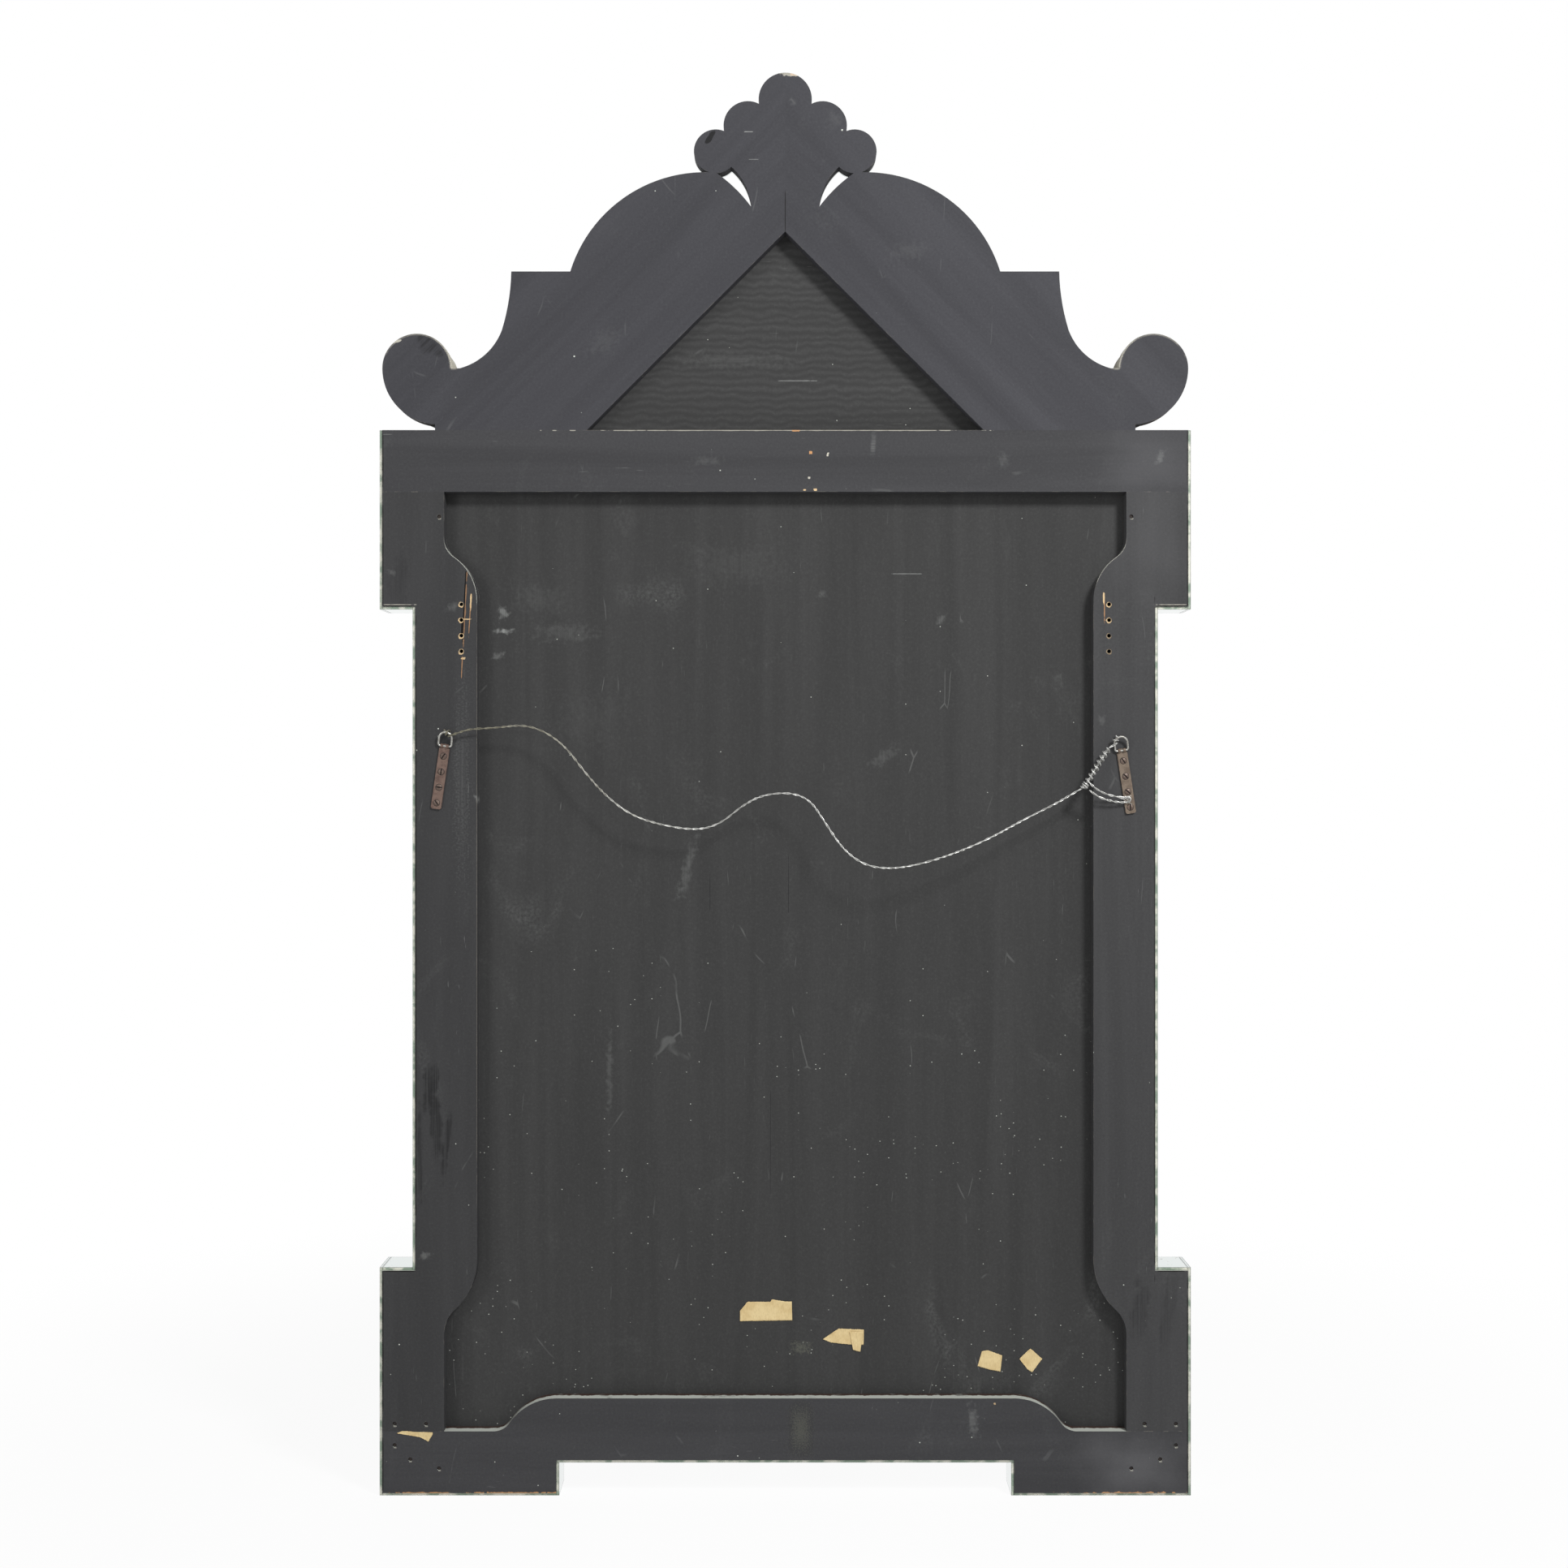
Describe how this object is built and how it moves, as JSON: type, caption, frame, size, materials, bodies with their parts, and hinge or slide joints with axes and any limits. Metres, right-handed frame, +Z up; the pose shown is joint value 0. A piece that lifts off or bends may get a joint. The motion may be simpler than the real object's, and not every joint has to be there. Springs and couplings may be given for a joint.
{
  "type": "venetian mirror",
  "caption": "Eared wall mirror with a pierced crest: dark wooden back on a carcass faced with bevelled mirror plates, strap hangers, swinging D-rings and a slack wire.",
  "frame": {"origin": "middle of the bottom rail's rear face, on the plane of the back boards", "axes": "+Z up, +Y from the wall through the frame to the glass front, +X to the right as seen from the back"},
  "size_m": [0.985, 0.1012, 1.7273],
  "materials": {
    "painted_wood": "worn matt dark paint",
    "carcass_wood": "bare softwood",
    "dowel_wood": "bare hardwood",
    "mirror_glass": "silvered, polished",
    "moulded_glass": "moulded, polished",
    "brass": "dull",
    "iron": "painted over",
    "strap_steel": "rusty",
    "screw_steel": "rusty",
    "ring_steel": "dull plated",
    "wire_steel": "twisted, dull"
  },
  "bodies": {
    "frame": {"top_rail": "painted_wood", "bottom_rail": "painted_wood", "left_stile": "painted_wood", "right_stile": "painted_wood", "left_crest_board": "painted_wood", "right_crest_board": "painted_wood", "back_panel": "painted_wood", "tympanum_panel": "painted_wood", "front_top_rail": "carcass_wood", "front_bottom_rail": "carcass_wood", "left_front_stile": "carcass_wood", "right_front_stile": "carcass_wood", "left_foot_block": "carcass_wood", "right_foot_block": "carcass_wood", "left_crest_core": "carcass_wood", "right_crest_core": "carcass_wood", "frame_dowels": "dowel_wood", "crest_dowels": "dowel_wood", "crest_seam_dowels": "dowel_wood", "mirror_plate": "mirror_glass", "top_border_plate": "mirror_glass", "bottom_border_plate": "mirror_glass", "left_border_plate": "mirror_glass", "right_border_plate": "mirror_glass", "left_upper_ear_plate": "mirror_glass", "right_upper_ear_plate": "mirror_glass", "left_lower_ear_plate": "mirror_glass", "right_lower_ear_plate": "mirror_glass", "left_foot_plate": "mirror_glass", "right_foot_plate": "mirror_glass", "left_crest_plate": "mirror_glass", "right_crest_plate": "mirror_glass", "tympanum_plate": "mirror_glass", "finial_plate": "mirror_glass", "left_stile_strip": "mirror_glass", "right_stile_strip": "mirror_glass", "left_upper_ear_strip": "mirror_glass", "right_upper_ear_strip": "mirror_glass", "left_lower_ear_strip": "mirror_glass", "right_lower_ear_strip": "mirror_glass", "left_foot_strip": "mirror_glass", "right_foot_strip": "mirror_glass", "bottom_rail_strip": "mirror_glass", "return_strips": "mirror_glass", "rosettes": "moulded_glass", "rosette_screws": "brass", "corner_nails": "iron", "left_strap": "strap_steel", "right_strap": "strap_steel", "left_strap_screws": "screw_steel", "right_strap_screws": "screw_steel", "hanging_wire": "wire_steel", "wire_wrap": "wire_steel", "wire_tail": "wire_steel"},
    "left_ring": {"left_ring": "ring_steel", "left_ring_lashing": "wire_steel"},
    "right_ring": {"right_ring": "ring_steel", "right_ring_lashing": "wire_steel"}
  },
  "joints": [
    {"name": "left_ring_swing", "type": "hinge", "parent": "frame", "child": "left_ring", "pos_m": [-0.4128, -0.00256, 0.829], "axis": [0.9898, 0, -0.1426], "range_deg": [0, 138], "deforming": ["hanging_wire"]},
    {"name": "right_ring_swing", "type": "hinge", "parent": "frame", "child": "right_ring", "pos_m": [0.408, -0.00256, 0.8235], "axis": [0.989, 0, 0.1478], "range_deg": [0, 138], "deforming": ["wire_wrap", "wire_tail"]}
  ]
}
